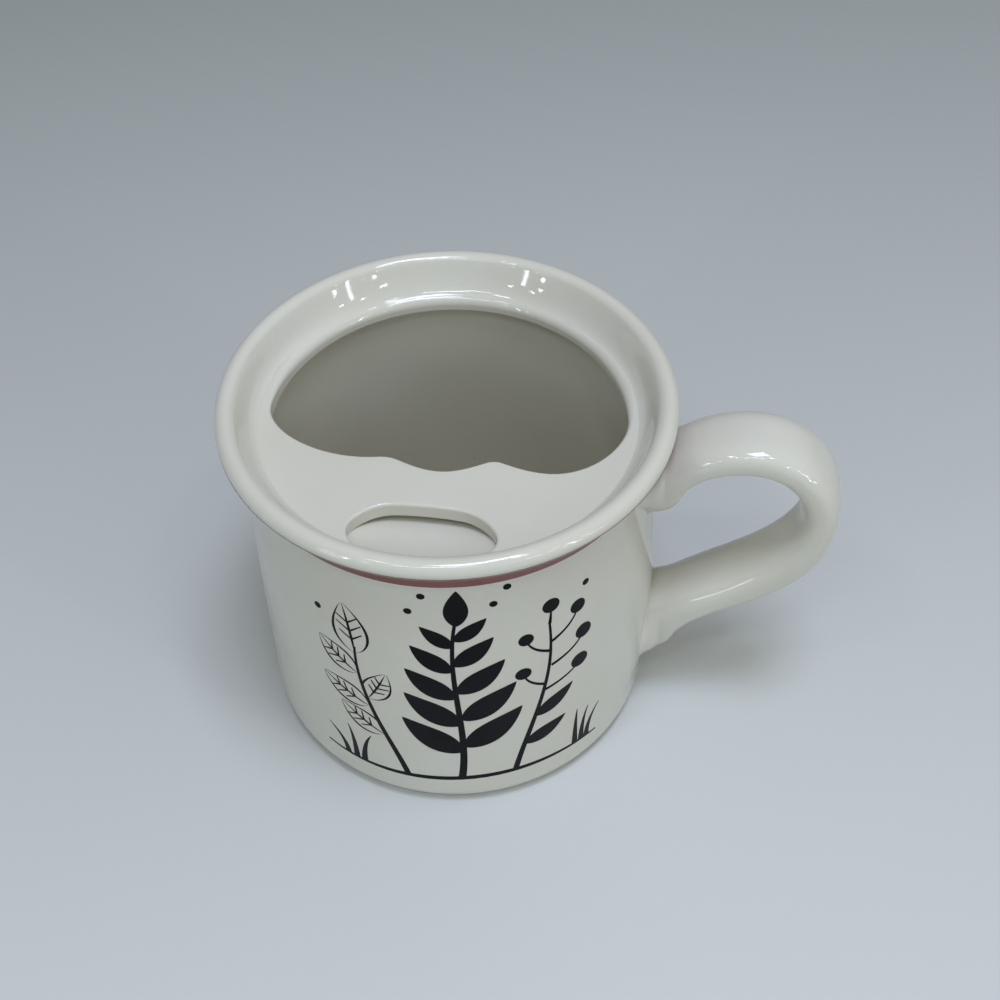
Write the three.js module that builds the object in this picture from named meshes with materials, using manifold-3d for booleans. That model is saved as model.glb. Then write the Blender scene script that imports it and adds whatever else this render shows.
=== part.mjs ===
// Glazed moustache cup: a straight cup with a flared lip, a scalloped guard plate with a drinking hole
// set inside the lip, a strap handle luted to the wall and a coloured line fired on under the lip.
// Millimetres, +Z up, +X towards the handle, -Y the drinking side. The origin is the middle of the
// whole object's footprint, at the level of the foot.
import * as THREE from "three";
import { mergeVertices } from "three/addons/utils/BufferGeometryUtils.js";
import Module from "manifold-3d";

// Cup
const HEIGHT = 89.5; // foot to the top of the lip
const RIM_RADIUS = 49; // outermost edge of the lip
const LIP_ROUND = 2.35; // radius of the lip's rolled edge
const FLARE_END = 40; // degrees below level where the flare runs into the lip's edge
const COLLAR_START = 150; // degrees round the lip's edge where the inner collar leaves it
const NECK_RADIUS = 45.1; // outside of the wall where the flare starts
const NECK_DROP = 9.5; // lip top down to the start of the flare
const BELLY_RADIUS = 46.2; // outside of the wall just above the heel
const WALL = 4.4;
const HEEL_RADIUS = 5; // rounding from the wall to the foot
const FOOT_WIDTH = 3.6; // width of the ring that the cup stands on
const FOOT_RECESS = 1.6; // height of the hollow under the base
const FLOOR_THICKNESS = 4.8;
const FLOOR_FILLET = 7; // rounding between the floor and the inside of the wall

// Guard plate
const GUARD_DROP = 7.2; // lip top down to the top of the plate
const GUARD_THICKNESS = 3.6;
const GUARD_EDGE = 1.2; // rounding of the plate's edges
const SEAT_WIDTH = 1.6; // shoulder in the wall that carries the plate
const LEDGE_WIDTH = 3.4; // ring of plate left between the opening and the wall
const OPENING_TURN = 5; // degrees that the opening sits round towards the handle
const CORNER_BEHIND = 1; // corners of the opening, behind the cup's axis
const LEFT_WING_OUT = 17; // lowest point of the scallop far from the handle, sideways from the middle
const LEFT_WING_FRONT = 13.3; // and in front of the axis
const RIGHT_WING_OUT = 22.7; // lowest point of the scallop next to the handle, sideways
const RIGHT_WING_FRONT = 15.6; // and in front of the axis
const PEAK_OUT = 11.1; // point between the scallops, sideways from the middle
const PEAK_FRONT = 13; // and in front of the axis
const DIP_FRONT = 16.4; // middle scallop's lowest point, in front of the axis

// Drinking hole and the chute under it
const HOLE_TURN = 2; // degrees that the hole and its chute sit round towards the handle
const HOLE_RIM = 1.6; // ring of plate left in front of the hole
const HOLE_WIDTH = 30.4;
const HOLE_DEPTH = 13.8; // front to back
const HOLE_CORNER = 8.5; // reach of the rounded back corners
const HOLE_SHOULDER = 7.7; // back edge forward to where the hole is widest
const HOLE_FRONT_CORNER = 3.7; // reach of the rounded front corners
const CHUTE_DEPTH = 10; // top of the plate down to the chute's open end
const CHUTE_LENGTH = 21.6; // front of the hole back to the chute's open end
const CHUTE_MARGIN = 1.5; // chute beyond the hole at each side
const CHUTE_WALL = 2.8;

// Handle
const STRAP_WIDTH = 16;
const STRAP_THICKNESS = 8;
const STRAP_FULLNESS = 2.7; // power of the strap's oval section, 2 for a plain ellipse
const CROWN_OUT = 20.9; // strap's highest point, out from the neck
const CROWN_DROP = 5.9; // lip top down to the middle of the strap there
const BOW_OUT = 36.1; // strap's outermost point, out from the neck
const BOW_DROP = 22.7; // lip top down to that point
const UPPER_ROOT_DROP = 11; // lip top down to the top of the upper root
const UPPER_ROOT_HEIGHT = 14.6; // length of the wall that the upper root covers
const UPPER_ROOT_DEPTH = 6.3; // how far the root stands out from the wall above its toe
const UPPER_TOE_HEIGHT = 4.5; // rounded lower end of the root
const LOWER_ROOT_LIFT = 15.1; // foot up to the bottom of the lower root
const LOWER_ROOT_HEIGHT = 16.5;
const LOWER_ROOT_DEPTH = 7;
const LOWER_TOE_HEIGHT = 5.2;
const ROOT_WIDTH = 20; // strap's width where it meets the wall
const ROOT_SPREAD = 7; // out from the wall to where the strap starts to widen
const ROOT_CORNER = 5; // rounding of the roots' corners on the wall
const KNEE_OUT = 15.4; // where the leg's underside bends down to the root, out from the wall
const KNEE_LIFT = 16.9; // and above the bottom of the root

// Joints and the fired line
const CLEARANCE = 0.3; // gap left at each face of a joint
const SLIP_THICKNESS = 0.8; // layer of slip that joins two pieces of clay
const SLIP_MARGIN = 0.7; // slip squeezed out past the handle's pads
const BAND_DROP = 7.3; // lip top down to the upper edge of the coloured line
const BAND_WIDTH = 2.9;
const BAND_THICKNESS = 0.15;
const BAND_LIFT = 0.05; // line's underside above the wall

// Facets
const TURN_STEPS = 72; // around the cup
const ARC_STEPS = 4; // along each curve of a profile
const OUTLINE_STEPS = 10; // along each curve of the guard's outlines
const HANDLE_STEPS = 8; // along each curve of the handle
const ROOT_STEPS = 5; // out from the wall along each root
const STRAP_STEPS = 24; // around the strap
const LINE_STEPS = 40; // along a curve that points are read from
const EDGE_STEPS = 3; // across a rounded edge
const MERGE_DISTANCE = 1e-4;
const ROUND = 0.55; // pull of a curve's ends that makes a quarter turn round

// How each curve of the opening's front edge leaves and arrives, as shares of its reach across and along
const CORNER_TO_WING = [[0, 0.5], [0.48, 1]];
const WING_TO_PEAK = [[0.38, 0], [0.73, 0.58]];
const PEAK_TO_DIP = [[0.33, 0.45], [0.64, 1]];

// The same for the drinking hole, from its front round to its back
const FRONT_TO_SIDE = [[0.55, 0.14], [1, 1 - ROUND]];
const SIDE_TO_BACK = [[0, 0.27], [0.59, 0.95]];

// The same for each curve of the handle, across and up
const ROOT_TO_CROWN = [[0.29, 0.61], [0.65, 1]];
const CROWN_TO_BOW = [[ROUND, 0], [1, 1 - ROUND]];
const BOW_TO_KNEE = [[0, 0.56], [0.48, 0.74]];
const KNEE_TO_TOE = [[0.53, 0.36], [0.87, 0.59]];
const TOE_TO_WALL = [[0.1, ROUND], [1 - ROUND, 1]];
const ROOT_TO_BOW = [[0.38, 0.26], [1, 0.59]];
const BOW_TO_CROWN = [[0, ROUND], [1 - ROUND, 1]];
const CROWN_TO_TOE = [[0.62, 0], [0.97, 0.5]];

// Places worked out from the sizes above
const HANDLE_REACH = NECK_RADIUS + BOW_OUT + STRAP_THICKNESS / 2;
const AXIS_X = (RIM_RADIUS - HANDLE_REACH) / 2; // cup's axis from the middle of the footprint
const LIP_Z = HEIGHT - LIP_ROUND;
const LIP_R = RIM_RADIUS - LIP_ROUND;
const NECK_Z = HEIGHT - NECK_DROP;
const GUARD_TOP = HEIGHT - GUARD_DROP;
const GUARD_BOTTOM = GUARD_TOP - GUARD_THICKNESS;
const SEAT_Z = GUARD_BOTTOM - 2 * CLEARANCE - SLIP_THICKNESS;
const FLOOR_Z = FOOT_RECESS + FLOOR_THICKNESS;
const INNER_NECK = NECK_RADIUS - WALL;
const INNER_BELLY = BELLY_RADIUS - WALL;
const SEAT_RADIUS = INNER_NECK + SEAT_WIDTH;
const GUARD_RADIUS = SEAT_RADIUS - CLEARANCE;
const OPENING_RADIUS = GUARD_RADIUS - LEDGE_WIDTH;
const HOLE_RADIUS = GUARD_RADIUS - HOLE_RIM;
const ROOT_GAP = 2 * CLEARANCE + SLIP_THICKNESS;
const UPPER_ROOT_TOP = HEIGHT - UPPER_ROOT_DROP;
const UPPER_ROOT_BOTTOM = UPPER_ROOT_TOP - UPPER_ROOT_HEIGHT;
const LOWER_ROOT_TOP = LOWER_ROOT_LIFT + LOWER_ROOT_HEIGHT;

const GLAZE = { color: 0xe6e4d8, roughness: 0.12, metalness: 0 };
const SLIP = { color: 0xdedacb, roughness: 0.4, metalness: 0 };
const ENAMEL = { color: 0x8c3f3c, roughness: 0.25, metalness: 0 };

const wasm = await Module();
wasm.setup();

// A closed geometry as a solid that can be joined and cut.
function solidFrom(geometry) {
  const bare = geometry.clone();
  bare.deleteAttribute("normal");
  bare.deleteAttribute("uv");
  const merged = mergeVertices(bare, MERGE_DISTANCE);
  return new wasm.Manifold(
    new wasm.Mesh({
      numProp: 3,
      vertProperties: new Float32Array(merged.attributes.position.array),
      triVerts: new Uint32Array(merged.index.array),
    }),
  );
}

function geometryFrom(solid) {
  const { vertProperties, triVerts } = solid.getMesh();
  const geometry = new THREE.BufferGeometry();
  geometry.setAttribute("position", new THREE.BufferAttribute(vertProperties, 3));
  geometry.setIndex(new THREE.BufferAttribute(triVerts, 1));
  geometry.computeVertexNormals();
  return geometry;
}

function named(name, geometry, finish) {
  const mesh = new THREE.Mesh(geometry, new THREE.MeshStandardMaterial(finish));
  mesh.name = name;
  return mesh;
}

// A profile in (radius, height) turned about the cup's axis.
function turned(points) {
  return new THREE.LatheGeometry(points, TURN_STEPS).rotateX(Math.PI / 2);
}

// The flare opens with the square of the height above the neck, in short straight steps.
const LIP_FROM = -THREE.MathUtils.degToRad(FLARE_END);
const LIP_TO = THREE.MathUtils.degToRad(COLLAR_START);
const FLARE_TOP = LIP_Z + LIP_ROUND * Math.sin(LIP_FROM);
const FLARE_OUT = LIP_R + LIP_ROUND * Math.cos(LIP_FROM) - NECK_RADIUS;
const FLARE_LINE = [];
for (let i = 0; i <= ARC_STEPS; i += 1) {
  const up = i / ARC_STEPS;
  FLARE_LINE.push(new THREE.Vector2(NECK_RADIUS + FLARE_OUT * up ** 2, NECK_Z + (FLARE_TOP - NECK_Z) * up));
}

// Outside of the cup from the heel to the lip: a straight wall that leans in slightly, then the flare.
const WALL_LINE = [new THREE.Vector2(BELLY_RADIUS, HEEL_RADIUS), ...FLARE_LINE];

// Outside radius of the cup at a height; below the heel the wall's lean runs on.
function wallRadius(z) {
  const next = WALL_LINE.findIndex((point, i) => i > 0 && z <= point.y);
  const high = WALL_LINE.at(next);
  const low = WALL_LINE.at(next - 1);
  return THREE.MathUtils.mapLinear(z, low.y, high.y, low.x, high.x);
}

// Points up the outside of the wall between two heights, moved out by an offset.
function wallPoints(from, to, offset) {
  const between = FLARE_LINE.filter((point) => point.y > from && point.y < to);
  const heights = [from, ...between.map((point) => point.y), to];
  return heights.map((z) => new THREE.Vector2(wallRadius(z) + offset, z));
}

// The cup: hollow foot, heel, wall, flared lip, sloping collar, shoulder for the guard, inner wall.
function cupBody() {
  const footOuter = BELLY_RADIUS - HEEL_RADIUS;
  const footInner = footOuter - FOOT_WIDTH;
  const outside = new THREE.Path();
  outside.moveTo(0, FOOT_RECESS);
  outside.lineTo(footInner - FOOT_RECESS, FOOT_RECESS);
  outside.quadraticCurveTo(footInner, FOOT_RECESS, footInner, 0);
  outside.lineTo(footOuter, 0);
  outside.absarc(footOuter, HEEL_RADIUS, HEEL_RADIUS, -Math.PI / 2, 0, false);

  const inside = new THREE.Path();
  inside.absarc(LIP_R, LIP_Z, LIP_ROUND, LIP_FROM, LIP_TO, false);
  inside.quadraticCurveTo(SEAT_RADIUS + GUARD_EDGE, GUARD_TOP + GUARD_EDGE, SEAT_RADIUS, GUARD_TOP);
  inside.lineTo(SEAT_RADIUS, SEAT_Z);
  inside.lineTo(INNER_NECK, SEAT_Z);
  inside.lineTo(INNER_BELLY, FLOOR_Z + FLOOR_FILLET);
  inside.absarc(INNER_BELLY - FLOOR_FILLET, FLOOR_Z + FLOOR_FILLET, FLOOR_FILLET, 0, -Math.PI / 2, true);
  inside.lineTo(0, FLOOR_Z);

  const profile = [
    ...outside.getPoints(ARC_STEPS),
    ...FLARE_LINE,
    ...inside.getPoints(ARC_STEPS).slice(1),
  ];
  return turned(profile);
}

// Adds a curve to a path; its ends leave and arrive by shares of its reach.
function bendTo(path, x, y, [leave, arrive]) {
  const from = path.currentPoint;
  const mix = ([u, v]) => [from.x + (x - from.x) * u, from.y + (y - from.y) * v];
  path.bezierCurveTo(...mix(leave), ...mix(arrive), x, y);
}

// The same curve run the other way.
function reversed([leave, arrive]) {
  return [arrive.map((share) => 1 - share), leave.map((share) => 1 - share)];
}

// An outline turned about the cup's axis, towards the handle.
function swung(outline, degrees) {
  const angle = THREE.MathUtils.degToRad(degrees);
  const axis = new THREE.Vector2();
  return new THREE.Path(outline.getPoints(OUTLINE_STEPS).map((point) => point.rotateAround(axis, angle)));
}

// Outline of the guard's main opening: a round back, and a front edge of three scallops with two
// points between them. It is cut by hand, so the two outer scallops differ.
function openingOutline() {
  const corner = Math.asin(CORNER_BEHIND / OPENING_RADIUS);
  const cornerOut = OPENING_RADIUS * Math.cos(corner);
  const outline = new THREE.Path();
  outline.absarc(0, 0, OPENING_RADIUS, corner, Math.PI - corner, false);
  bendTo(outline, -LEFT_WING_OUT, -LEFT_WING_FRONT, CORNER_TO_WING);
  bendTo(outline, -PEAK_OUT, -PEAK_FRONT, WING_TO_PEAK);
  bendTo(outline, 0, -DIP_FRONT, PEAK_TO_DIP);
  bendTo(outline, PEAK_OUT, -PEAK_FRONT, reversed(PEAK_TO_DIP));
  bendTo(outline, RIGHT_WING_OUT, -RIGHT_WING_FRONT, reversed(WING_TO_PEAK));
  bendTo(outline, cornerOut, CORNER_BEHIND, reversed(CORNER_TO_WING));
  return swung(outline, OPENING_TURN);
}

// Outline of the drinking hole: its front follows the wall, its back is straight and its ends round.
function holeOutline() {
  const half = HOLE_WIDTH / 2;
  const frontOut = half - HOLE_FRONT_CORNER;
  const front = Math.asin(frontOut / HOLE_RADIUS);
  const back = -HOLE_RADIUS + HOLE_DEPTH;
  const side = back - HOLE_SHOULDER;
  const flat = half - HOLE_CORNER;
  const outline = new THREE.Path();
  outline.absarc(0, 0, HOLE_RADIUS, -Math.PI / 2 - front, -Math.PI / 2 + front, false);
  bendTo(outline, half, side, FRONT_TO_SIDE);
  bendTo(outline, flat, back, SIDE_TO_BACK);
  outline.lineTo(-flat, back);
  bendTo(outline, -half, side, reversed(SIDE_TO_BACK));
  bendTo(outline, -frontOut, -HOLE_RADIUS * Math.cos(front), reversed(FRONT_TO_SIDE));
  return swung(outline, HOLE_TURN);
}

// The hollow of the chute as a turned solid, deeper by an offset: its floor falls from the front of
// the drinking hole in a curve that ends level at the open end.
function chuteHollow(offset) {
  const front = HOLE_RADIUS + offset;
  const end = HOLE_RADIUS - CHUTE_LENGTH;
  const floor = GUARD_TOP - CHUTE_DEPTH - offset;
  const brim = GUARD_TOP - GUARD_EDGE;
  const hollow = new THREE.Path();
  hollow.moveTo(end, floor);
  hollow.quadraticCurveTo(front - CHUTE_LENGTH / 3, floor, front, brim);
  hollow.lineTo(end, brim);
  hollow.lineTo(end, floor);
  const half = HOLE_WIDTH / 2 + CHUTE_MARGIN + offset;
  const sides = new THREE.BoxGeometry(2 * half, RIM_RADIUS, HEIGHT);
  sides.translate(0, -end - RIM_RADIUS / 2, HEIGHT / 2);
  sides.rotateZ(THREE.MathUtils.degToRad(HOLE_TURN));
  return solidFrom(turned(hollow.getPoints(ARC_STEPS))).intersect(solidFrom(sides));
}

// The guard: plate with rounded edges, its two openings, and the chute under the drinking hole.
function moustacheGuard() {
  const outline = new THREE.Shape();
  outline.absarc(0, 0, RIM_RADIUS, 0, 2 * Math.PI, false);
  outline.holes.push(openingOutline(), holeOutline());
  const plate = new THREE.ExtrudeGeometry(outline, {
    depth: GUARD_THICKNESS - 2 * GUARD_EDGE,
    bevelEnabled: true,
    bevelThickness: GUARD_EDGE,
    bevelSize: GUARD_EDGE,
    bevelOffset: -GUARD_EDGE,
    bevelSegments: EDGE_STEPS,
    curveSegments: OUTLINE_STEPS,
  });
  plate.translate(0, 0, GUARD_BOTTOM + GUARD_EDGE);

  const bore = [
    new THREE.Vector2(0, 0),
    new THREE.Vector2(INNER_NECK - CLEARANCE, 0),
    new THREE.Vector2(INNER_NECK - CLEARANCE, GUARD_BOTTOM),
    new THREE.Vector2(GUARD_RADIUS, GUARD_BOTTOM),
    new THREE.Vector2(GUARD_RADIUS, HEIGHT),
    new THREE.Vector2(0, HEIGHT),
  ];
  const chute = chuteHollow(CHUTE_WALL).subtract(chuteHollow(0));
  return geometryFrom(solidFrom(plate).add(chute).intersect(solidFrom(turned(bore))));
}

// A curve in (radius, height) as points.
function curve(fromR, fromZ, toR, toZ, shares) {
  const path = new THREE.Path();
  path.moveTo(fromR, fromZ);
  bendTo(path, toR, toZ, shares);
  return path.getPoints(LINE_STEPS);
}

// The point at a radius on a line whose radius runs one way.
function atRadius(line, r) {
  const next = line.findIndex((point, i) => i > 0 && (point.x - r) * (line[i - 1].x - r) <= 0);
  const to = line.at(next);
  const from = line.at(next - 1);
  return new THREE.Vector2(r, THREE.MathUtils.mapLinear(r, from.x, to.x, from.y, to.y));
}

// Two lines read side by side at even steps, up to but without their ends.
function paired(outer, inner, steps) {
  const inside = new THREE.Path(inner).getSpacedPoints(steps);
  const pairs = new THREE.Path(outer).getSpacedPoints(steps).map((point, i) => [point, inside[i]]);
  return pairs.slice(0, -1);
}

// Two lines read side by side at the same radii, from one radius to another.
function pairedAtRadii(outer, inner, from, to) {
  return Array.from({ length: ROOT_STEPS }, (_, i) => {
    const r = THREE.MathUtils.lerp(from, to, i / ROOT_STEPS);
    return [atRadius(outer, r), atRadius(inner, r)];
  });
}

// The handle's sections, each as its outer and its inner point in (radius, height): up out of the
// upper root, over the crown, round the bow and down the leg. Each root ends in a rounded toe.
function handleSections() {
  const half = STRAP_THICKNESS / 2;
  const crown = NECK_RADIUS + CROWN_OUT;
  const bow = NECK_RADIUS + BOW_OUT;
  const crownZ = HEIGHT - CROWN_DROP;
  const bowZ = HEIGHT - BOW_DROP;
  const upperWall = wallRadius(UPPER_ROOT_BOTTOM);
  const upperFace = upperWall + UPPER_ROOT_DEPTH;
  const upperToe = UPPER_ROOT_BOTTOM + UPPER_TOE_HEIGHT;
  const lowerWall = wallRadius(LOWER_ROOT_LIFT);
  const lowerFace = lowerWall + LOWER_ROOT_DEPTH;
  const lowerToe = LOWER_ROOT_LIFT + LOWER_TOE_HEIGHT;
  const knee = lowerWall + KNEE_OUT;
  const kneeZ = LOWER_ROOT_LIFT + KNEE_LIFT;

  const rise = curve(upperWall, UPPER_ROOT_TOP, crown, crownZ + half, ROOT_TO_CROWN);
  const upperToeLine = curve(upperWall, UPPER_ROOT_BOTTOM, upperFace, upperToe, reversed(TOE_TO_WALL));
  const underCrown = curve(upperFace, upperToe, crown, crownZ - half, reversed(CROWN_TO_TOE));
  const back = curve(crown, crownZ + half, bow + half, bowZ, CROWN_TO_BOW);
  const underBack = curve(crown, crownZ - half, bow - half, bowZ, reversed(BOW_TO_CROWN));
  const leg = curve(bow + half, bowZ, knee, kneeZ, BOW_TO_KNEE);
  const shin = curve(knee, kneeZ, lowerFace, lowerToe, KNEE_TO_TOE);
  const lowerToeLine = curve(lowerFace, lowerToe, lowerWall, LOWER_ROOT_LIFT, TOE_TO_WALL);
  const calf = curve(bow - half, bowZ, lowerWall, LOWER_ROOT_TOP, reversed(ROOT_TO_BOW));

  const ends = (r, outerZ, innerZ) => [new THREE.Vector2(r, outerZ), new THREE.Vector2(r, innerZ)];
  const beyond = (line, r) => line.filter((point) => point.x > r);
  const riseOut = [atRadius(rise, upperFace), ...beyond(rise, upperFace)];
  const calfOut = [...beyond(calf, lowerFace), atRadius(calf, lowerFace)];
  return [
    ends(upperWall - WALL, UPPER_ROOT_TOP, UPPER_ROOT_BOTTOM),
    ...pairedAtRadii(rise, upperToeLine, upperWall, upperFace),
    ...paired(riseOut, underCrown, HANDLE_STEPS),
    ...paired(back, underBack, HANDLE_STEPS),
    ...paired([...leg, ...shin.slice(1)], calfOut, 2 * HANDLE_STEPS),
    ...pairedAtRadii(lowerToeLine, calf, lowerFace, lowerWall),
    ends(lowerWall, LOWER_ROOT_LIFT, LOWER_ROOT_TOP),
    ends(lowerWall - WALL, LOWER_ROOT_LIFT, LOWER_ROOT_TOP),
  ];
}

// Everything within an offset of the cup's outside, used to trim what is joined to the wall.
function wallSpace(offset) {
  const wall = wallPoints(0, FLARE_TOP, offset);
  return solidFrom(turned([new THREE.Vector2(0, 0), ...wall, new THREE.Vector2(0, FLARE_TOP)]));
}

// The handle: oval sections strung along the strap, wider at the wall.
function handle() {
  const sections = handleSections();
  const strap = new THREE.SphereGeometry(1, STRAP_STEPS, sections.length + 1);
  const place = strap.attributes.position;
  const oval = (share) => Math.sign(share) * Math.abs(share) ** (2 / STRAP_FULLNESS);
  for (let i = 0; i < place.count; i += 1) {
    const row = Math.floor(i / (STRAP_STEPS + 1)) - 1;
    const ended = row < 0 || row === sections.length;
    const [outer, inner] = sections[THREE.MathUtils.clamp(row, 0, sections.length - 1)];
    const angle = (2 * Math.PI * ((i % (STRAP_STEPS + 1)) % STRAP_STEPS)) / STRAP_STEPS;
    const across = ended ? 0 : oval(Math.cos(angle));
    const along = ended ? 0 : oval(Math.sin(angle));
    const r = THREE.MathUtils.lerp(inner.x, outer.x, (along + 1) / 2);
    const z = THREE.MathUtils.lerp(inner.y, outer.y, (along + 1) / 2);
    const out = r - wallRadius(Math.min(z, NECK_Z));
    const near = THREE.MathUtils.clamp(1 - out / ROOT_SPREAD, 0, 1);
    const half = THREE.MathUtils.lerp(STRAP_WIDTH, ROOT_WIDTH, near ** 2) / 2;
    place.setXYZ(i, r, -half * across, z);
  }
  return geometryFrom(solidFrom(strap).subtract(wallSpace(ROOT_GAP)));
}

// Layer of slip between a root of the handle and the wall, squeezed out a little all round.
function rootSlip(bottom, top) {
  const corner = ROOT_CORNER + SLIP_MARGIN;
  const low = bottom + ROOT_CORNER;
  const high = top - ROOT_CORNER;
  const side = ROOT_WIDTH / 2 - corner;
  const outline = new THREE.Shape();
  outline.absarc(high, side, corner, 0, Math.PI / 2, false);
  outline.absarc(low, side, corner, Math.PI / 2, Math.PI, false);
  outline.absarc(low, -side, corner, Math.PI, 1.5 * Math.PI, false);
  outline.absarc(high, -side, corner, 1.5 * Math.PI, 2 * Math.PI, false);
  const patch = new THREE.ExtrudeGeometry(outline, {
    depth: wallRadius(bottom) + wallRadius(top),
    bevelEnabled: false,
    curveSegments: EDGE_STEPS,
  });
  patch.rotateX(Math.PI);
  patch.rotateY(-Math.PI / 2);
  const layer = wallSpace(CLEARANCE + SLIP_THICKNESS).subtract(wallSpace(CLEARANCE));
  return geometryFrom(layer.intersect(solidFrom(patch)));
}

// Bed of slip between the shoulder in the wall and the guard.
function guardSlip() {
  const inner = INNER_NECK + CLEARANCE;
  const outer = SEAT_RADIUS - CLEARANCE;
  const low = SEAT_Z + CLEARANCE;
  const high = low + SLIP_THICKNESS;
  const corners = [
    [inner, low],
    [outer, low],
    [outer, high],
    [inner, high],
    [inner, low],
  ];
  return turned(corners.map(([r, z]) => new THREE.Vector2(r, z)));
}

// Coloured line fired on to the wall under the lip, following the start of the flare.
function rimBand() {
  const top = HEIGHT - BAND_DROP;
  const bottom = top - BAND_WIDTH;
  const face = wallPoints(bottom, top, BAND_LIFT + BAND_THICKNESS);
  const back = wallPoints(bottom, top, BAND_LIFT).reverse();
  return turned([...face, ...back, face[0].clone()]);
}

const cup = new THREE.Group();
cup.add(named("cup_body", cupBody(), GLAZE));
cup.add(named("moustache_guard", moustacheGuard(), GLAZE));
cup.add(named("guard_slip", guardSlip(), SLIP));
cup.add(named("handle", handle(), GLAZE));
cup.add(named("upper_handle_slip", rootSlip(UPPER_ROOT_BOTTOM, UPPER_ROOT_TOP), SLIP));
cup.add(named("lower_handle_slip", rootSlip(LOWER_ROOT_LIFT, LOWER_ROOT_TOP), SLIP));
cup.add(named("rim_band", rimBand(), ENAMEL));
cup.position.x = AXIS_X;

const moustacheCup = new THREE.Group();
moustacheCup.add(cup);

export default moustacheCup;
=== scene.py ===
import math

import bmesh
import bpy
from bpy.props import FloatProperty, FloatVectorProperty, PointerProperty
from mathutils import Matrix, Vector
from mathutils.geometry import interpolate_bezier


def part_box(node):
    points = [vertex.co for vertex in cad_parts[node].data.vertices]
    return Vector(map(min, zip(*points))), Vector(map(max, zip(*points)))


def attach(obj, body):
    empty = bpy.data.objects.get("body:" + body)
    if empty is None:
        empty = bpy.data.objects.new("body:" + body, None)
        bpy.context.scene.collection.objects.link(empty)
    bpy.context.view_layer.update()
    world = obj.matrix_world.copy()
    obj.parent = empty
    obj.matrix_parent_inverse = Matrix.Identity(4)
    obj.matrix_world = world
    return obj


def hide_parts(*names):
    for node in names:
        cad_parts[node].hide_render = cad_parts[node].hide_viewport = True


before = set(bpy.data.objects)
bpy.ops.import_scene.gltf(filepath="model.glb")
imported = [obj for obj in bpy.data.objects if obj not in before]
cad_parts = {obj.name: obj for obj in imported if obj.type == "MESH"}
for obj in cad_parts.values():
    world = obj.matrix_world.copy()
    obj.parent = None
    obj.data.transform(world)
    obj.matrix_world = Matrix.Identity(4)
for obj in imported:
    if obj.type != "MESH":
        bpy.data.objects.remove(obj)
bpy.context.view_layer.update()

bl_info = {
    "name": "Moustache cup",
    "version": (1, 0, 0),
    "blender": (4, 5, 0),
    "location": "View3D > Sidebar > Cup",
    "description": "Glazed moustache cup with a scalloped guard, a strap handle and a leaf print",
    "category": "Object",
}

CUP_LOW, CUP_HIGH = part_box("cup_body")
HANDLE_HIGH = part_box("handle")[1]
AXIS_X = (CUP_LOW.x + CUP_HIGH.x) / 2

MM = 0.001
TURN_STEPS = 168
WELD = 1e-6  # points closer than this are one
LAYER = 3e-5  # thickness of the print and gap between layers of glaze
PLATE_COVER = 0.0012  # how far the collar reaches in over the plate's edge
COLLAR_POINTS = 16
LIP_START, LIP_END = math.radians(-40), math.radians(150)  # ends of the rolled lip, from its widest point


# Settings


def length_of(name, description, default):
    """A size in metres."""
    return FloatProperty(name=name, description=description, default=default, unit="LENGTH")


def angle_of(name, description, degrees):
    """An angle, given in degrees."""
    return FloatProperty(name=name, description=description, default=math.radians(degrees), subtype="ANGLE")


def colour_of(name, description, *default):
    """An opaque colour."""
    return FloatVectorProperty(
        name=name, description=description, default=(*default, 1), size=4, min=0, max=1, subtype="COLOR"
    )


class CupSizes(bpy.types.PropertyGroup):
    """Sizes of the turned cup."""

    height: length_of("Height", "Foot to the top of the lip", CUP_HIGH.z)
    rim_radius: length_of("Rim radius", "Outermost edge of the lip", (CUP_HIGH.x - CUP_LOW.x) / 2)
    lip_round: length_of("Lip round", "Radius of the rolled lip", 0.0023)
    neck_radius: length_of("Neck radius", "Wall where the flare starts, before the waist", 0.0451)
    neck_height: length_of("Neck height", "Height where the flare starts", 0.080)
    belly_radius: length_of("Belly radius", "Wall just above the heel", 0.0462)
    waist: length_of("Waist", "How far the wall draws in below the lip", 0.0008)
    waist_low: length_of("Waist start", "Height where the wall starts to draw in", 0.045)
    waist_high: length_of("Waist end", "Height where the wall is drawn in fully", 0.072)
    wall: length_of("Wall", "Thickness of the wall", 0.0044)
    heel: length_of("Heel", "Rounding from the wall to the foot", 0.005)
    foot_width: length_of("Foot width", "Width of the ring it stands on", 0.0036)
    foot_recess: length_of("Foot recess", "Hollow under the base", 0.0016)
    floor_height: length_of("Floor height", "Inside floor above the foot", 0.0064)
    floor_fillet: length_of("Floor fillet", "Rounding of the inside corner", 0.007)
    swell: length_of("Swell", "Thickening of the wall behind the handle", 0.0014)
    line_low: length_of("Line low edge", "Lower edge of the fired line", 0.0785)
    line_high: angle_of("Line high edge", "Where the line ends under the lip, from its widest point", -15)


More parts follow.
